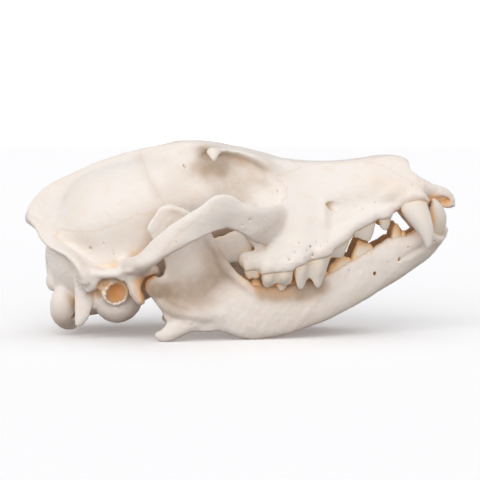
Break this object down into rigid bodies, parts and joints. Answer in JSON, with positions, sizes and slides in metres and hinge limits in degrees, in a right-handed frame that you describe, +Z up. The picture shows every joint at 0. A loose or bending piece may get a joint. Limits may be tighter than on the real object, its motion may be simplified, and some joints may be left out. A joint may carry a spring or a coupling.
{
  "type": "dog skull with lower jaw",
  "caption": "Whole dog skull with its lower jaw closed, canines and cheek teeth in place and front teeth missing, resting on the jaw as a museum model.",
  "frame": {"origin": "on the floor, midway between the back of the skull and the tip of the upper jaw, in the plane of symmetry", "axes": "+X towards the nose, +Y to the animal's left, +Z up from the floor that the lower jaw rests on"},
  "size_m": [0.2139, 0.1138, 0.0969],
  "materials": {
    "bone": "bleached dry bone, creamy white, satin",
    "tooth": "clean enamel, off-white, slightly glossy"
  },
  "bodies": {
    "root": {"braincase": "bone", "snout": "bone", "zygomatic_arch_left": "bone", "zygomatic_arch_right": "bone", "mandible_left": "bone", "mandible_right": "bone"}
  },
  "joints": []
}
